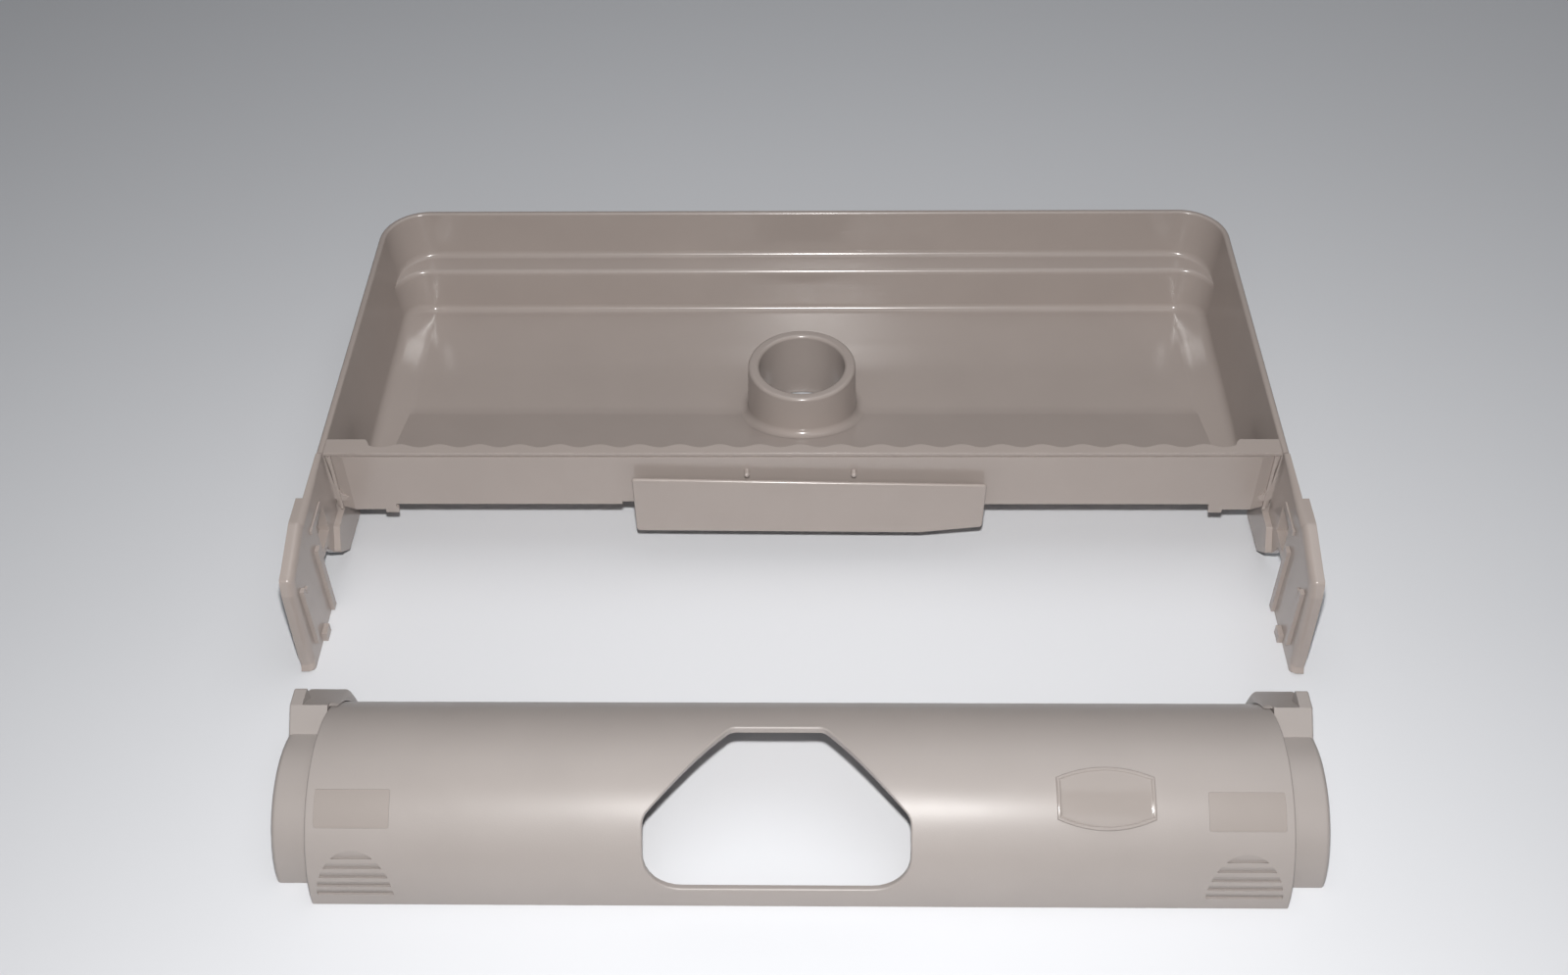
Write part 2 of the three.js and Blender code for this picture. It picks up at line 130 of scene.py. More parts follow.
def clean(obj, fill=False):
    """Joins doubled points, fills an open end if asked, and turns all faces outwards."""
    work = bmesh.new()
    work.from_mesh(obj.data)
    bmesh.ops.remove_doubles(work, verts=work.verts, dist=JOIN)
    bmesh.ops.dissolve_degenerate(work, edges=work.edges, dist=JOIN)
    if fill:
        bmesh.ops.holes_fill(work, edges=[e for e in work.edges if e.is_boundary], sides=0)
    bmesh.ops.recalc_face_normals(work, faces=work.faces)
    work.to_mesh(obj.data)
    work.free()
    return obj


def freeze(obj):
    """Applies the modifiers of an object."""
    graph = bpy.context.evaluated_depsgraph_get()
    obj.data = bpy.data.meshes.new_from_object(obj.evaluated_get(graph))
    obj.modifiers.clear()
    return obj


def combine(obj, others, operation):
    """Joins other pieces to a piece, or cuts them out of it, and uses them up."""
    for other in others:
        modifier = obj.modifiers.new(operation, "BOOLEAN")
        modifier.object = other
        modifier.operation = operation
        modifier.solver = "EXACT"
    freeze(obj)
    for other in others:
        bpy.data.objects.remove(other)
    return clean(obj)


def bevelled(obj, width, segments=2, angle=30):
    """Rounds the edges at which the surface turns by more than an angle."""
    modifier = obj.modifiers.new("bevel", "BEVEL")
    modifier.width = width
    modifier.segments = segments
    modifier.limit_method = "ANGLE"
    modifier.angle_limit = math.radians(angle)
    modifier.use_clamp_overlap = True
    return freeze(obj)


def grid_faces(rows, columns, close_rows=False, close_columns=False):
    """Quads between points that are stored row by row."""
    faces = []
    for r in range(rows if close_rows else rows - 1):
        for c in range(columns if close_columns else columns - 1):
            down, right = (r + 1) % rows, (c + 1) % columns
            faces.append((r * columns + c, r * columns + right, down * columns + right, down * columns + c))
    return faces


def loft(name, rings, close_rows=False):
    """A skin through closed rings of points. Without close_rows its two ends are capped."""
    count = len(rings[0])
    faces = grid_faces(len(rings), count, close_rows, True)
    if not close_rows:
        faces.append(tuple(range(count)))
        faces.append(tuple(range((len(rings) - 1) * count, len(rings) * count)))
    return clean(new_object(name, [p for ring in rings for p in ring], faces))


def prism(name, outline, axis, low, high):
    """A prism along an axis, from an outline in the other two, in the order x, y, z."""
    at = {
        "x": lambda a, b, h: (h, a, b),
        "y": lambda a, b, h: (a, h, b),
        "z": lambda a, b, h: (a, b, h),
    }[axis]
    return loft(name, [[at(a, b, h) for a, b in outline] for h in (low, high)])


def block(name, x0, x1, y0, y1, z0, z1):
    return prism(name, [(x0, y0), (x1, y0), (x1, y1), (x0, y1)], "z", z0, z1)


NEARLY_STRAIGHT = 1.55  # radians: half of a corner too flat to round


def rounded(corners, steps=6):
    """An outline with round corners, from (a, b, radius) rows."""
    outline = []
    for i, (a, b, radius) in enumerate(corners):
        here = Vector((a, b))
        back = (Vector(corners[i - 1][:2]) - here).normalized()
        ahead = (Vector(corners[(i + 1) % len(corners)][:2]) - here).normalized()
        half_angle = back.angle(ahead) / 2
        if radius <= 0 or half_angle > NEARLY_STRAIGHT:
            outline.append((a, b))
            continue
        reach = radius / math.tan(half_angle)
        centre = here + (back + ahead).normalized() * (radius / math.sin(half_angle))
        start = here + back * reach - centre
        sweep = start.angle_signed(here + ahead * reach - centre)
        for k in range(steps + 1):
            spoke = start.copy()
            spoke.rotate(Matrix.Rotation(-sweep * k / steps, 2))
            outline.append(tuple(centre + spoke))
    return outline


def turned_z(name, profile, centre, steps=96):
    """A ring turned about a vertical axis, from a closed (radius, z) profile."""
    rings = []
    for i in range(steps):
        angle = 2 * math.pi * i / steps
        rings.append([
            (centre[0] + r * math.cos(angle), centre[1] + r * math.sin(angle), z) for r, z in profile
        ])
    return loft(name, rings, close_rows=True)


def turned_x(name, profile, start=0.0, end=180.0, steps=90):
    """A part turned about the cover's axis, from a closed (x, radius) profile."""
    rings = []
    for i in range(steps + 1):
        angle = math.radians(start + (end - start) * i / steps)
        rings.append([(x, r * math.cos(angle), r * math.sin(angle)) for x, r in profile])
    return loft(name, rings)


def quarter(radius, steps=4):
    """(inset, rise) pairs of a quarter round, from the wall to the flat."""
    turns = [math.pi / 2 * k / steps for k in range(steps + 1)]
    return [(radius * (1 - math.cos(t)), radius * math.sin(t)) for t in turns]


# ---- tray pan ------------------------------------------------------------------------------------
def side_wall(z):
    """Half-width between the side walls at a height: they lean out towards the rim."""
    foot = FLOOR + BORDER * BORDER_SLOPE
    return FLOOR_HALF + (z - foot) * (TRAY_HALF - WALL - FLOOR_HALF) / (TRAY_HEIGHT - foot)


def floor_inside(x, y):
    """Height of the floor between its side borders: flat, with the ramp in front."""
    return FLOOR + max(0.0, RAMP_FOOT - y) * RAMP_SLOPE


def floor_border(x, y):
    """Height of the sloping border along the sides, which climbs to the front wall."""
    dish = max(0.0, abs(x) - (FLOOR_HALF - BORDER)) * BORDER_SLOPE
    top = RAMP_FOOT * RAMP_SLOPE
    climb = top * min(1.0, max(0.0, BORDER_RISE_FOOT - y) / (BORDER_RISE_FOOT - BORDER_RISE_TOP))
    return FLOOR + max(dish, climb)


# y of the pan's points along its sides, closer together at the ramp's foot and behind
SIDE_STATIONS = [PAN_FRONT, 6, 11, 16, 22, 26, 31, 36, 42, 48, 54, 60, 66, 70, 73.5, 77, 82, 88, 94, 100,
                 106, 111, 116, 119, 121.6, 124, 127, 130.1]
CORNER_STEPS = 16
REAR_STEPS = 60


def ring_plan(half, rear, radius):
    """(x, y) points of one ring of the pan, from the front left round the back to the front right."""
    straight = rear - radius
    scale = (straight - PAN_FRONT) / (SIDE_STATIONS[-1] - PAN_FRONT)
    side = [PAN_FRONT + (y - PAN_FRONT) * scale for y in SIDE_STATIONS]
    turns = [math.pi / 2 * k / CORNER_STEPS for k in range(1, CORNER_STEPS)]
    corner = [(half - radius + radius * math.cos(t), straight + radius * math.sin(t)) for t in turns]
    back = [(half - radius) * (1 - 2 * k / REAR_STEPS) for k in range(REAR_STEPS + 1)]
    left = [(-half, y) for y in side] + [(-x, y) for x, y in corner]
    right = [(x, y) for x, y in reversed(corner)] + [(half, y) for y in reversed(side)]
    return left + [(-x, rear) for x in back] + right


def floor_rings(grow, lift, fillet):
    """Rings of the floor from the inner rectangle out to the foot of the walls."""
    rear = TRAY_DEPTH - WALL - SHELF_DEPTH

    def ring(inset, height, rise=0.0):
        plan = ring_plan(FLOOR_HALF + grow - inset, rear + grow - inset, POCKET_CORNER + grow - inset)
        return [(x, y, height(x, y) + lift + rise) for x, y in plan]

    rings = [ring(POCKET_CORNER + grow, floor_inside), ring(BORDER + grow, floor_inside)]
    rings += [ring(inset + grow, floor_border) for inset in (BORDER, 9, 6, 4)]
    turns = [math.pi / 2 * k / 5 for k in range(6)]
    for t in turns:
        rings.append(ring(fillet * (1 - math.sin(t)), floor_border, fillet * (1 - math.cos(t))))
    return rings


def wall_ring(part, z, out, foot):
    """A ring of the walls. part runs from 0 at the lower rear wall to 1 at the upper one.

    Where the foot of the walls is higher than the ring, the ring stays a hair above it.
    """
    rear = TRAY_DEPTH - WALL - SHELF_DEPTH * (1 - part) + out
    radius = POCKET_CORNER + (TRAY_CORNER - WALL - POCKET_CORNER) * part + out
    plan = ring_plan(side_wall(z) + out, rear, radius)
    hair = 0.02 + z / 1000
    return [(x, y, max(z, low[2] + hair)) for (x, y), low in zip(plan, foot)]


def outer_ring(z, inset):
    """A ring of the pan's upright outer face."""
    plan = ring_plan(TRAY_HALF - inset, TRAY_DEPTH - inset, TRAY_CORNER - inset)
    return [(x, y, z) for x, y in plan]


def pan_rings():
    """All rings of the pan: up the inside, over the rim, down the outside and in under the floor."""
    low, rim_radius = 20, 0.9
    floor = floor_rings(0, 0, 3.0)
    foot = floor[-1]
    walls = [wall_ring(0, low, 0, foot), wall_ring(0, 27.6, 0, foot)]
    # The shelf as (part, z): a round edge, a nearly level top and a fillet up to the upper wall
    shelf = [(0.03, 28.9), (0.09, 29.7), (0.16, 30), (0.76, 30.1), (0.88, 30.5), (0.96, 31.4), (1, 33)]
    walls += [wall_ring(part, z, 0, foot) for part, z in shelf]
    walls += [wall_ring(1, z, 0, foot) for z in (43, TRAY_HEIGHT - rim_radius)]
    edge = [(inset, TRAY_HEIGHT - rim_radius + rise) for inset, rise in quarter(rim_radius)]
    rim = [wall_ring(1, z, inset, foot) for inset, z in edge[1:]]
    rim += [outer_ring(z, inset) for inset, z in reversed(edge)]
    under = SHELF - WALL
    outside = [outer_ring(42, 0)]
    outside += [outer_ring(under + rise, inset) for rise, inset in ((0.8, 0), (0.2, 0.25), (0, 0.8))]
    bottom = list(reversed(floor_rings(WALL, -FLOOR_WALL, 1.2)))
    lower = [wall_ring(0, z, WALL, bottom[0]) for z in (under, low)]
    return floor + walls + rim + outside + lower + bottom


def pan_middle(lift):
    """The floor inside the rings, as a grid on the same lines."""
    inner = ring_plan(FLOOR_HALF - POCKET_CORNER, TRAY_DEPTH - WALL - SHELF_DEPTH - POCKET_CORNER, 0)
    first = len(SIDE_STATIONS) + CORNER_STEPS - 1
    columns = [x for x, _ in inner[first:first + REAR_STEPS + 1]]
    points = [(x, y, floor_inside(x, y) + lift) for y in SIDE_STATIONS for x in columns]
    return points, grid_faces(len(SIDE_STATIONS), len(columns))


def front_wall():
    """The front wall: a notch behind the flap, lower ends, and a face that falls back beside them."""
    top = TRAY_HEIGHT - 2 - GAP
    reach = TRAY_HALF - 0.6
    end_start, slant_start, slant_end, depth, rib_end = 161.5, 178.2, 182.9, 1.6, 184.1
    notch_from, notch_to, notch_top = -70.8, 66, WALL_FOOT + 3
    notch = [(notch_from, WALL_FOOT, 0), (notch_from, notch_top, 0.8),
             (notch_to, notch_top, 0.8), (notch_to, WALL_FOOT, 0)]
    inside = WALL - TRAY_HALF
    left = [(-reach, WALL_FOOT, 0), (inside, WALL_FOOT, 0), (inside, WALL_END_FOOT, 0),
            (-end_start, WALL_END_FOOT, 0.5), (-end_start, WALL_FOOT, 0.5)]
    right = [(-x, z, radius) for x, z, radius in reversed(left)]
    outline = rounded([*left, *notch, *right, (reach, top, 0), (-reach, top, 0)], steps=3)
    wall = prism("front_wall", outline, "y", 0, WALL)
    clear = -2  # well in front of the wall
    slant = [(slant_start, 0), (slant_end, depth), (slant_end, clear), (slant_start, clear)]
    groove = [(rib_end, clear), (-inside, clear), (-inside, depth), (rib_end, depth)]
    cuts = []
    for side in (-1, 1):
        for shape in (slant, groove):
            cuts.append(prism("cut", [(side * x, y) for x, y in shape], "z", 0, TRAY_HEIGHT))
    return bevelled(combine(wall, cuts, "DIFFERENCE"), 0.3, angle=15)


def tray_pan():
    """The moulding: pan and front wall, with two small tabs under the wall and two runners below."""
    rings = pan_rings()
    count = len(rings[0])
    points = [p for ring in rings for p in ring]
    faces = grid_faces(len(rings), count)
    for lift in (0, -FLOOR_WALL):
        grid, grid_quads = pan_middle(lift)
        faces += [tuple(i + len(points) for i in quad) for quad in grid_quads]
        points += grid
    pan = clean(new_object("tray_pan_fine", points, faces), fill=True)
    tab_low, tab_high, tab_half = 20.2, WALL_END_FOOT + 1.4, 2.7
    added = [front_wall()]
    for x in (-163.5, 164.5):
        added.append(bevelled(block("tab", x - tab_half, x + tab_half, 0.1, 2, tab_low, tab_high), 0.4))
    for x in (-110, 110):
        added.append(bevelled(block("runner", x - 2, x + 2, 82, 138, 0, FLOOR - 1), 0.6))
    combine(pan, added, "UNION")
    hole, below, above = SPIGOT_RADIUS + GAP, -5, SHELF
    bore = turned_z("bore", [(0, below), (hole, below), (hole, above), (0, above)], (0, SPIGOT_Y))
    return combine(pan, [bore], "DIFFERENCE")


# ---- rest of the tray ----------------------------------------------------------------------------
STRIP_BACK = 4.2  # mean y of the scalloped rear edge
STRIP_THICKNESS = 1.8
WAVE = 0.9
WAVE_LENGTH = 15.6
END_BACK = 7.8
END_START = 168.0


def strip_back(x):
    """The rear edge of the rim strip: scalloped, and wider at both ends."""
    wave = STRIP_BACK + WAVE * math.cos(2 * math.pi * x / WAVE_LENGTH)
    blend = min(1.0, max(0.0, (abs(x) - END_START) / 2.0))
    return wave + (END_BACK - wave) * blend * blend * (3 - 2 * blend)


def front_rim_strip():
    """The edging on the front wall, with a small chamfer below in front and round upper edges."""
    half = TRAY_HALF - WALL - GAP
    steps = 2 * round(half)
    front, low = 0.0, TRAY_HEIGHT - STRIP_THICKNESS
    chamfer, edge_radius = 0.4, 0.12
    edge = [(inset, TRAY_HEIGHT - edge_radius + rise) for inset, rise in quarter(edge_radius)]
    rings = []
    for i in range(steps + 1):
        x = -half + 2 * half * i / steps
        back = strip_back(x)
        section = [(front + chamfer, low), (front, low + chamfer)]
        section += [(front + inset, z) for inset, z in edge]
        section += [(back - inset, z) for inset, z in reversed(edge)]
        section.append((back, low))
        rings.append([(x, y, z) for y, z in section])
    return loft("front_rim_strip_fine", rings)


def round_spigot(radius, angle):
    """(x, y) at a distance from the spigot's axis."""
    return radius * math.cos(angle), SPIGOT_Y + radius * math.sin(angle)


def inlet_spigot():
    """The spigot, with a collar at its foot that follows the floor and the ramp."""
    lip_radius, flare, above_floor = 1.4, 3.6, 0.1
    lip = [(inset, SPIGOT_MOUTH - lip_radius + rise) for inset, rise in quarter(lip_radius, 6)]
    profile = [(SPIGOT_BORE, SPIGOT_FOOT)]
    profile += [(SPIGOT_BORE + inset, z) for inset, z in lip]
    profile += [(SPIGOT_TOP_RADIUS - inset, z) for inset, z in reversed(lip)]
    collar = [(SPIGOT_RADIUS + inset, flare - rise) for inset, rise in quarter(flare, 8)]
    steps = 96
    rings = []
    for i in range(steps):
        angle = 2 * math.pi * i / steps
        ring = [(*round_spigot(radius, angle), z) for radius, z in profile]
        for radius, rise in collar:
            x, y = round_spigot(radius, angle)
            ring.append((x, y, floor_inside(x, y) + above_floor + rise))
        x, y = round_spigot(SPIGOT_RADIUS, angle)
        ring += [(x, y, floor_inside(x, y) + above_floor / 2), (x, y, SPIGOT_FOOT)]
        rings.append(ring)
    return loft("inlet_spigot_fine", rings, close_rows=True)


# Outlines of an arm in (y, z, corner radius), from its top downwards. NOSE is its front edge on the
# outside and FACE the same edge on the inside, with as many points; LEG goes under the side wall.
NOSE = [(-38, TRAY_HEIGHT, 6), (-56, 47.6, 0), (-61, 46.4, 2), (-62.7, 39.6, 3), (-64.6, 11, 3),
        (1.5 - ARM_FRONT, 3, 1), (-ARM_FRONT, 1, 0), (1 - ARM_FRONT, 0, 0)]
FACE = [(-37.5, 49.8, 6), (-54.8, 44.3, 0), (-57.8, 43.4, 2), (-59.4, 39.3, 3), (-61.1, 11, 3),
        (-61.1, 3.6, 1), (-63.4, 1.6, 0), (-63.2, 0, 0)]
NOTCH = [(-31, 0, 0), (-31, 19, 2), (-28, 22, 2)]
LEG_TOP = 21.5
LEG = [(-20, 22, 1.5), (-19, 19, 1), (-15, 13, 1), (-5, 4, 1), (17, 3, 1), (17, LEG_TOP, 0)]
FOOT = [(17, 3, 1), (17, LEG_TOP, 1), (-9, LEG_TOP, 1), (-15, 13, 1), (-5, 4, 1)]

# What stands up on the inside of an arm: height, y from and to, z from and to
ARM_BANDS = [
    (1.6, -58, -55.6, 8, 37),
    (2, -50, -44.5, 0, 4),
    (1.5, -34.4, -31, 0.5, 34),
    (0.8, -53, -51, 31, 33),
    (0.6, -31.5, -17, 42.4, 43.6),
    (0.9, -33.2, -31.2, 42, 44),
]


def arm_skin():
    """The layer on the outside of the arm that stands out past the side wall."""
    low, high, step = 22, 44, -24.7
    back = [(-8, low, 1), (-8, high, 1), (step, high, 1)]
    outline = rounded([(step, TRAY_HEIGHT, 0), *NOSE, *NOTCH, *back])
    return prism("skin", outline, "x", -ARM_OUTER, -TRAY_HALF)


def arm_plate(name):
    """The plate of the arm, in line with the side wall, with its front edge rounded on the inside."""
    top, back = (-GAP, TRAY_HEIGHT, 0), [*NOTCH, *LEG, (-GAP, LEG_TOP, 0)]
    outer = rounded([top, *NOSE, *back])
    inner = rounded([top, *FACE, *back])
    rings = []
    for share, rise in quarter(1, 6):
        x = -TRAY_HALF + WALL * rise
        rings.append([(x, *(a + (b - a) * share for a, b in zip(*pair))) for pair in zip(outer, inner)])
    return loft(name, rings)


def left_arm():
    """Plate and outer layer, a recess from the inside, a foot under the side wall, and the bands."""
    inside = WALL - TRAY_HALF
    root = inside - 0.5  # well into the plate
    arm = combine(arm_plate("left_arm_fine"), [arm_skin()], "UNION")
    combine(arm, [block("recess", 1 - ARM_OUTER, inside + 5, -26, -14, 25, 38.5)], "DIFFERENCE")
    extras = [prism("foot", rounded(FOOT), "x", inside, inside + WALL)]
    for height, y0, y1, z0, z1 in ARM_BANDS:
        extras.append(block("band", root, inside + height, y0, y1, z0, z1))
    return bevelled(combine(arm, extras, "UNION"), 0.45)


def mirrored(obj, name):
    """The mirror image of a left piece, for the right side."""
    copy = obj.copy()
    copy.data = obj.data.copy()
    copy.name = copy.data.name = name
    bpy.context.scene.collection.objects.link(copy)
    copy.data.transform(Matrix.Scale(-1, 4, (1, 0, 0)))
    copy.data.flip_normals()
    return copy


def front_flap():
    """A thin plate with rounded edges, cut back at its lower right corner."""
    outline = rounded([
        (-65.5, 14.9, 1.5), (47.3, 13.8, 4), (72.1, 17.1, 1.5), (72.5, 40.2, 1), (-65.6, 43.4, 1),
    ])
    return bevelled(prism("front_flap_fine", outline, "y", FLAP_FRONT, FLAP_BACK), 0.7, segments=4)


def flap_peg(name, x):
    """A short stem with a domed head, standing on the front wall."""
    stem, length, dome_height = 1.1, 3.2, 0.9
    tip = -GAP - length
    rises = [math.pi / 2 * k / 6 for k in range(6)]
    dome = [(stem * math.cos(t), tip + dome_height * (1 - math.sin(t))) for t in rises]
    turns = [2 * math.pi * k / 24 for k in range(24)]
    rings = []
    for r, y in [(stem, -GAP), *dome]:
        rings.append([(x + r * math.cos(t), y, PEG_HEIGHT + r * math.sin(t)) for t in turns])
    return loft(name, rings)


# ---- cover ---------------------------------------------------------------------------------------
# A degree about the cover's axis as a distance along its skin, measured from the tray side
DEGREE = math.radians(COVER_RADIUS)


def on_cover(x, along, radius):
    """A point of the cover from x and the distance along the skin from the tray side."""
    angle = along / COVER_RADIUS
    return (x, radius * math.cos(angle), radius * math.sin(angle))


def grown(outline, distance):
    """An outline moved outwards by a distance."""
    moved = []
    for i, (a, b) in enumerate(outline):
        back = Vector(outline[i - 1])
        ahead = Vector(outline[(i + 1) % len(outline)])
        tangent = (ahead - back).normalized()
        moved.append((a + tangent.y * distance, b - tangent.x * distance))
    return moved


def resized(outline, share):
    """An outline shrunk about its middle."""
    middle = [(min(p[i] for p in outline) + max(p[i] for p in outline)) / 2 for i in (0, 1)]
    return [tuple(m + (v - m) * share for m, v in zip(middle, p)) for p in outline]


def curved_cap(outline, radius):
    """Rings that close an outline on the curved skin, from its middle outwards."""
    shares = (0.03, 0.2, 0.4, 0.6, 0.75, 0.88, 0.96)
    return [[on_cover(a, b, radius) for a, b in resized(outline, share)] for share in shares]


def skin_cutter(name, outline, depth, edge, reach):
    """A cutter that goes down through the skin to a depth and leaves a round upper edge."""
    steps = 4
    rows = [(COVER_RADIUS - depth, 0.0)]
    for k in range(steps + 1):
        turn = math.radians(75) * k / steps
        rows.append((COVER_RADIUS - edge + edge * math.sin(turn), edge * (1 - math.cos(turn))))
    rows.append((COVER_RADIUS + reach, rows[-1][1]))
    rings = curved_cap(outline, rows[0][0])
    rings += [[on_cover(a, b, radius) for a, b in grown(outline, out)] for radius, out in rows]
    return loft(name, rings)


def dense(outline, step=1.5):
    """The same outline with extra points, so that long sides follow the curved skin."""
    result = []
    for i, here in enumerate(outline):
        ahead = outline[(i + 1) % len(outline)]
        pieces = max(1, math.ceil(abs(ahead[1] - here[1]) / step))
        for k in range(pieces):
            t = k / pieces
            result.append((here[0] + (ahead[0] - here[0]) * t, here[1] + (ahead[1] - here[1]) * t))
    return result


def window_outline():
    """Counter-clockwise in (x, distance along the skin): a six-sided window with round corners."""
    middle, half, top_half = -7.0, 45.0, 15.9
    top, knee, bottom = 76.8 * DEGREE, 126.8 * DEGREE, 164.7 * DEGREE
    right = [(middle + top_half, top, 4), (middle + half, knee, 7), (middle + half, bottom, 13)]
    left = [(middle - half, bottom, 13), (middle - half, knee, 7), (middle - top_half, top, 4)]
    return dense(rounded([*right, *left], steps=8))


def label_outline(side):
    """A rectangle with slightly round corners, for a label plate and its pocket."""
    left, right = side * GRIP_X - 12.7, side * GRIP_X + 12.7
    low, high = 113.7 * DEGREE, 132.6 * DEGREE
    corners = [(left, low), (right, low), (right, high), (left, high)]
    return dense(rounded([(x, b, 0.6) for x, b in corners], steps=3))


GROOVES = 5
GROOVE_HALF = 13.0
GROOVE_WIDTH = 2.2
GROOVE_DEPTH = 0.8
GRIP_TOP, GRIP_BOTTOM = 144.0 * DEGREE, 170.5 * DEGREE


def grip_grooves(side):
    """Cutters for the finger grooves: strips of a half ellipse, each deepest at its lower edge."""
    height = GRIP_BOTTOM - GRIP_TOP
    pitch = height / GROOVES
    steps = 8
    cutters = []
    for i in range(GROOVES):
        low = pitch * (i + 0.5) + GROOVE_WIDTH / 2
        high = low - GROOVE_WIDTH if i else 0.15
        edge = []
        for k in range(steps + 1):
            down = high + (low - high) * k / steps
            half = GROOVE_HALF * math.sqrt(1 - (1 - down / height) ** 2)
            edge.append((half, GRIP_TOP + down, COVER_RADIUS - 0.1 - GROOVE_DEPTH * k / steps))
        outline = [(side * GRIP_X + x, b, r) for x, b, r in edge]
        outline += [(side * GRIP_X - x, b, r) for x, b, r in reversed(edge)]
        bottom = [on_cover(*point) for point in outline]
        cutters.append(loft("groove", [bottom, [on_cover(x, b, COVER_RADIUS + 3) for x, b, _ in outline]]))
    return cutters


def half_pipe(name, inner, outer, x0, x1, edge, steps=200):
    """A half pipe that stands on the table, with its outer end edges rounded."""
    rings = []
    ends = [(x0 + edge - rise, inset) for inset, rise in reversed(quarter(edge))]
    for x, cut in [*ends, *[(x0 + x1 - x, cut) for x, cut in reversed(ends)]]:
        radius = outer - cut
        ring = []
        for r, forward in ((radius, True), (inner, False)):
            foot = math.asin(COVER_FOOT / r)
            turns = [foot + (math.pi - 2 * foot) * k / steps for k in range(steps + 1)]
            for t in turns if forward else reversed(turns):
                ring.append((x, r * math.cos(t), r * math.sin(t)))
        rings.append(ring)
    return loft(name, rings)


def cover_shell():
    """The half-round shell, with the window, two label pockets and the grip grooves cut out."""
    shell = half_pipe(
        "cover_shell_fine", COVER_RADIUS - COVER_WALL, COVER_RADIUS, -COVER_HALF, COVER_HALF, 0.7,
    )
    cutters = [skin_cutter("window", window_outline(), 6, 0.7, COVER_RADIUS)]
    for side in (-1, 1):
        cutters.append(skin_cutter("pocket", label_outline(side), 0.9, 0.25, 3))
        cutters += grip_grooves(side)
    return combine(shell, cutters, "DIFFERENCE")


def skin_plate(name, outline, low, profile):
    """A thin plate that follows the skin. profile: (radius, inset) rows over its edge and top."""
    rows = [(low, 0.0), *profile]
    rings = curved_cap(outline, low)
    rings += [[on_cover(a, b, radius) for a, b in grown(outline, -inset)] for radius, inset in rows]
    top, inset = rows[-1]
    rings += reversed(curved_cap(grown(outline, -inset), top))
    return loft(name, rings)


def label_plate(side, name):
    """A blank plate, its face a little below the skin."""
    return skin_plate(name, label_outline(side), COVER_RADIUS - 0.6, [(COVER_RADIUS - 0.25, 0.0)])


# ---- end caps ------------------------------------------------------------------------------------
def left_end_cap():
    """A half-round cup with a plug that goes into the shell, and its lug."""
    end, flange = -CAP_HALF, GAP - COVER_HALF
    plug = COVER_RADIUS - COVER_WALL - GAP
    shaft, edge = 9.0, 1.8
    profile = [(end, shaft)]
    profile += [(end + inset, CAP_RADIUS - edge + rise) for inset, rise in quarter(edge, 5)]
    profile += [
        (flange, CAP_RADIUS), (flange, plug), (flange + COVER_WALL, plug),
        (flange + COVER_WALL, CAP_RADIUS - COVER_WALL), (end + COVER_WALL, CAP_RADIUS - COVER_WALL),
        (end + COVER_WALL, shaft),
    ]
    cup = turned_x("left_end_cap_fine", profile)
    table = block("below", end - 5, 0, -60, 60, -5, COVER_FOOT)
    return combine(combine(cup, [left_lug()], "UNION"), [table], "DIFFERENCE")


def polar(radius, degrees):
    """(y, z) from the cover's axis."""
    return (radius * math.cos(math.radians(degrees)), radius * math.sin(math.radians(degrees)))


def lug_back(degrees):
    """A point on the back of the lug: flat at the top, then round."""
    flat = LUG_FLAT / math.cos(math.radians(degrees - LUG_LEAN))
    return polar(min(LUG_RADIUS, flat), degrees)


def hidden_edge(start):
    """The edge of the lug that lies inside the wall of the cup, from an angle to its front."""
    front, steps = 66, 12
    angles = [start + (front - start) * k / steps for k in range(steps + 1)]
    return [(*polar(CAP_RADIUS - 1.5, angle), 0) for angle in angles]


def lug_hook():
    """The part of the lug that laps over the shell: thin in front, with a round inner corner."""
    base, front, corner = COVER_RADIUS + GAP, 56, 3.0
    steps = 30
    angles = [front + (LUG_LOW - front) * k / steps for k in range(steps + 1)]
    heights = []
    for angle in angles:
        share = min(1.0, (front - angle) / 3 + 0.15)
        heights.append((Vector(lug_back(angle)).length - base) * share)
    stations = [(-COVER_HALF - GAP - 0.1, 1.0)]
    stations += [
        (-LUG_INNER - corner + rise, max(0.08, 1 - inset / corner)) for inset, rise in quarter(corner, 6)
    ]
    rings = []
    for x, thickness in stations:
        above = [polar(base + height * thickness, angle) for height, angle in zip(heights, angles)]
        below = [polar(base, angle) for angle in reversed(angles)]
        rings.append([(x, y, z) for y, z in above + below])
    return loft("hook", rings)


def left_lug():
    """A sloping front face, a ridge and a flat back; the outer end has a level top."""
    end, seam, edge = 0.2 - CAP_HALF, -COVER_HALF - GAP, 0.7
    ridge = (21.0, 34.7, 0.5)
    back_top, steps = 30, 10
    back = [(*lug_back(back_top - (back_top - LUG_LOW) * k / steps), 0) for k in range(steps + 1)]
    main = rounded([ridge, *back, *hidden_edge(LUG_LOW)])
    block_outline = rounded([ridge, (29.0, 34.4, 1.0), (29.4, 16, 0), *hidden_edge(25)])
    stations = [(end + edge - rise, inset) for inset, rise in reversed(quarter(edge))]
    stations.append((-LUG_STEP, 0.0))
    level = [[(x, y, z) for y, z in grown(block_outline, inset)] for x, inset in stations]
    lug = prism("lug", main, "x", end + edge, seam)
    return combine(lug, [loft("level", level), lug_hook()], "UNION")


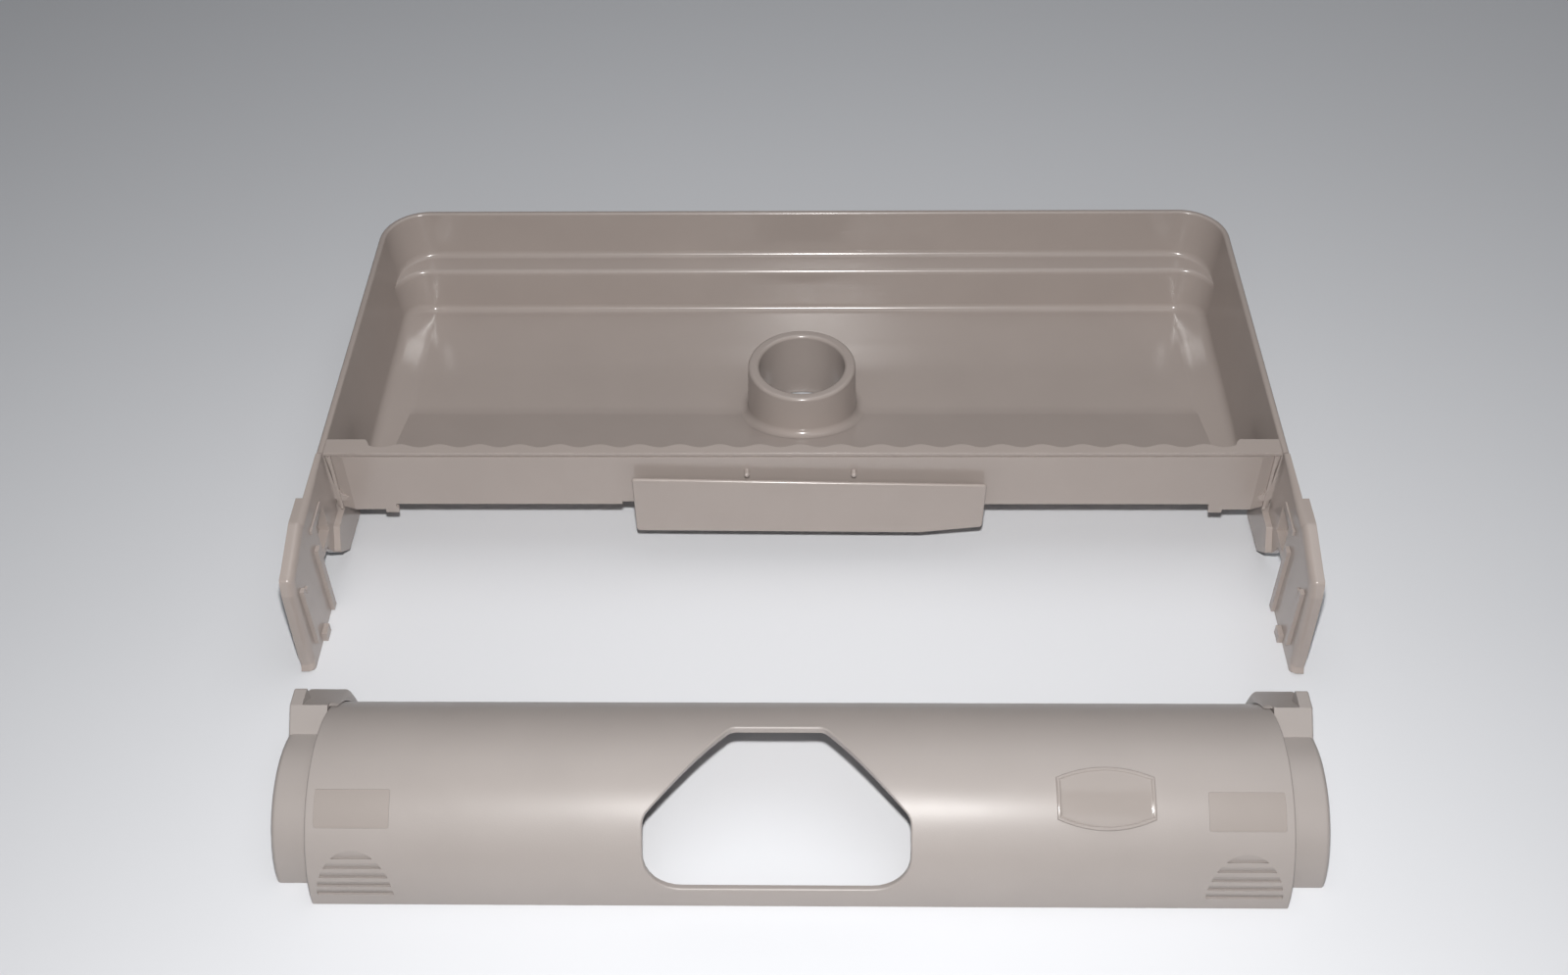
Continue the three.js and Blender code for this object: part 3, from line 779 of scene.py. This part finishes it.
# ---- badge ---------------------------------------------------------------------------------------
def badge_outline():
    """A barrel shape: straight ends and bowed long sides."""
    centre, middle = 103.2, 116.8 * DEGREE
    half, end_half, mid_half = 16.5, 7.0, 10.6
    steps = 8
    upper = []
    for k in range(-steps, steps + 1):
        share = k / steps
        upper.append((centre + half * share, -(end_half + (mid_half - end_half) * (1 - share * share))))
    outline = [(x, middle + b) for x, b in upper] + [(x, middle - b) for x, b in reversed(upper)]
    return dense(outline)


def badge_plate():
    """A plate with a raised border round a blank field."""
    base = COVER_RADIUS + 0.05
    top = base + 1.1
    profile = [(top - 0.5 + rise, inset) for inset, rise in quarter(0.5)]
    profile += [(top, 1.0), (top - 0.12, 1.2), (top - 0.35, 1.35), (top - 0.4, 1.6)]
    return skin_plate("badge_plate_fine", badge_outline(), base, profile)


# ---- materials -----------------------------------------------------------------------------------
def plastic(name, color, roughness, grain, grain_size):
    """Moulded plastic: faint cloudy colour, uneven gloss and a fine surface grain."""
    mottle = 0.05
    material = bpy.data.materials.new(name)
    material.use_nodes = True
    nodes, links = material.node_tree.nodes, material.node_tree.links
    shader = nodes["Principled BSDF"]
    shader.inputs["IOR"].default_value = 1.5
    place = nodes.new("ShaderNodeTexCoord").outputs["Object"]

    def noise(scale, detail=3.0):
        node = nodes.new("ShaderNodeTexNoise")
        node.inputs["Scale"].default_value = scale
        node.inputs["Detail"].default_value = detail
        links.new(place, node.inputs["Vector"])
        return node.outputs["Fac"]

    clouds = nodes.new("ShaderNodeMix")
    clouds.data_type = "RGBA"
    dark = [c * (1 - mottle) for c in color]
    light = [c * (1 + mottle) for c in color]
    clouds.inputs[6].default_value = (*dark, 1)
    clouds.inputs[7].default_value = (*light, 1)
    links.new(noise(35, 4.0), clouds.inputs[0])
    links.new(clouds.outputs[2], shader.inputs["Base Color"])

    gloss = nodes.new("ShaderNodeMapRange")
    gloss.inputs["To Min"].default_value = roughness * 0.85
    gloss.inputs["To Max"].default_value = roughness * 1.2
    links.new(noise(60, 5.0), gloss.inputs["Value"])
    links.new(gloss.outputs["Result"], shader.inputs["Roughness"])

    bump = nodes.new("ShaderNodeBump")
    bump.inputs["Strength"].default_value = grain
    bump.inputs["Distance"].default_value = 0.0001
    links.new(noise(1 / (grain_size * MM), 2.0), bump.inputs["Height"])
    links.new(bump.outputs["Normal"], shader.inputs["Normal"])
    return material


def table_top():
    """Pale, slightly clouded and half matt."""
    material = bpy.data.materials.new("table_top")
    material.use_nodes = True
    nodes, links = material.node_tree.nodes, material.node_tree.links
    shader = nodes["Principled BSDF"]
    shader.inputs["Roughness"].default_value = 0.45
    noise = nodes.new("ShaderNodeTexNoise")
    noise.inputs["Scale"].default_value = 3.0
    tone = nodes.new("ShaderNodeMix")
    tone.data_type = "RGBA"
    tone.inputs[6].default_value = (0.67, 0.68, 0.705, 1)
    tone.inputs[7].default_value = (0.73, 0.74, 0.765, 1)
    links.new(noise.outputs["Fac"], tone.inputs[0])
    links.new(tone.outputs[2], shader.inputs["Base Color"])
    return material


# ---- placing -------------------------------------------------------------------------------------
def placed(obj, origin, body, node, material):
    """Moves a finished piece from its local frame to the row frame, in metres."""
    obj.data.transform(Matrix.Scale(MM, 4) @ Matrix.Translation(origin))
    obj.data.shade_smooth()
    obj.data.set_sharp_from_angle(angle=math.radians(32))
    obj.modifiers.new("weighted", "WEIGHTED_NORMAL").keep_sharp = True
    obj.data.materials.clear()
    obj.data.materials.append(material)
    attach(obj, body)
    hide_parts(node)
    return obj


def build_tray(material):
    arm = left_arm()
    pieces = [
        (tray_pan(), "tray", "tray_pan"),
        (front_rim_strip(), "tray", "front_rim_strip"),
        (inlet_spigot(), "tray", "inlet_spigot"),
        (mirrored(arm, "right_arm_fine"), "tray", "right_arm"),
        (arm, "tray", "left_arm"),
        (front_flap(), "flap", "front_flap"),
        (flap_peg("left_flap_peg_fine", -PEG_X), "tray", "left_flap_peg"),
        (flap_peg("right_flap_peg_fine", PEG_X), "tray", "right_flap_peg"),
    ]
    for obj, body, node in pieces:
        placed(obj, TRAY_ORIGIN, body, node, material)


def build_cover(material, label, badge):
    cap = left_end_cap()
    pieces = [
        (cover_shell(), "cover_shell", "cover", material),
        (mirrored(cap, "right_end_cap_fine"), "right_end_cap", "cover", material),
        (cap, "left_end_cap", "cover", material),
        (label_plate(-1, "left_label_plate_fine"), "left_label_plate", "label", label),
        (label_plate(1, "right_label_plate_fine"), "right_label_plate", "label", label),
        (badge_plate(), "badge_plate", "badge", badge),
    ]
    for obj, node, slot, finish in pieces:
        placed(obj, COVER_ORIGIN, "cover", node, finish)


# ---- stage, camera and light ---------------------------------------------------------------------
CAMERA = TRAY_ORIGIN + Vector((6.93, -487.18, 518.13))
CAMERA_PITCH = math.radians(44.778)
CAMERA_YAW = math.radians(-1.577)
CAMERA_ROLL = math.radians(1.095)
LENS = 40.05
FLASH_ABOVE_LENS = 52
TABLE_REACH = 3  # metres
TABLE_DROP = 0.0002  # metres, so that no piece's underside shares the table's plane


def camera_axes():
    """Right, up and backward directions of the camera."""
    ahead = Vector((
        math.sin(CAMERA_YAW) * math.cos(CAMERA_PITCH), math.cos(CAMERA_YAW) * math.cos(CAMERA_PITCH),
        -math.sin(CAMERA_PITCH),
    ))
    level = Vector((math.cos(CAMERA_YAW), -math.sin(CAMERA_YAW), 0))
    down = ahead.cross(level)
    right = level * math.cos(CAMERA_ROLL) + down * math.sin(CAMERA_ROLL)
    return right, right.cross(ahead), -ahead


def make_camera():
    data = bpy.data.cameras.new("camera")
    data.lens = LENS
    data.sensor_width = 36
    camera = bpy.data.objects.new("camera", data)
    right, up, back = camera_axes()
    turn = Matrix((right, up, back)).transposed().to_4x4()
    camera.matrix_world = Matrix.Translation(CAMERA * MM) @ turn
    bpy.context.scene.collection.objects.link(camera)
    bpy.context.scene.camera = camera


def area_light(name, place, target, size, power, color):
    data = bpy.data.lights.new(name, "AREA")
    data.shape = "DISK"
    data.size = size
    data.energy = power
    data.color = color
    light = bpy.data.objects.new(name, data)
    light.location = place
    light.rotation_euler = (Vector(target) - Vector(place)).to_track_quat("-Z", "Y").to_euler()
    bpy.context.scene.collection.objects.link(light)


def make_stage():
    """The table, a small flash over the lens, two large soft lights and a faint studio sky."""
    corners = [(-1, -1), (1, -1), (1, 1), (-1, 1)]
    points = [(TABLE_REACH * a, TABLE_REACH * b, -TABLE_DROP) for a, b in corners]
    floor = new_object("floor", points, [(0, 1, 2, 3)])
    floor.data.materials.append(table_top())
    flash = (CAMERA + camera_axes()[1] * FLASH_ABOVE_LENS) * MM
    area_light("flash", flash, (0, -0.03, 0), 0.02, 4.6, (1.0, 0.985, 0.97))
    area_light("ceiling", (0.2, 0.3, 1.6), (0, 0, 0), 1.6, 7.0, (0.95, 0.97, 1.0))
    area_light("front", (0, -1.5, 1.2), (0, 0, 0), 1.2, 4.0, (0.95, 0.97, 1.0))
    world = bpy.data.worlds.new("studio")
    world.use_nodes = True
    background = world.node_tree.nodes["Background"]
    background.inputs["Color"].default_value = (0.80, 0.83, 0.88, 1)
    background.inputs["Strength"].default_value = 0.03
    bpy.context.scene.world = world
    bpy.context.scene.view_settings.view_transform = "Standard"


make_camera()
make_stage()
tray_plastic = plastic("tray_plastic", (0.360, 0.312, 0.287), 0.19, 0.04, 0.9)
cover_plastic = plastic("cover_plastic", (0.335, 0.302, 0.285), 0.36, 0.2, 0.45)
label_plastic = plastic("label_plastic", (0.29, 0.255, 0.235), 0.45, 0.1, 0.6)
badge_plastic = plastic("badge_plastic", (0.32, 0.285, 0.265), 0.15, 0.05, 0.8)
build_tray(tray_plastic)
build_cover(cover_plastic, label_plastic, badge_plastic)
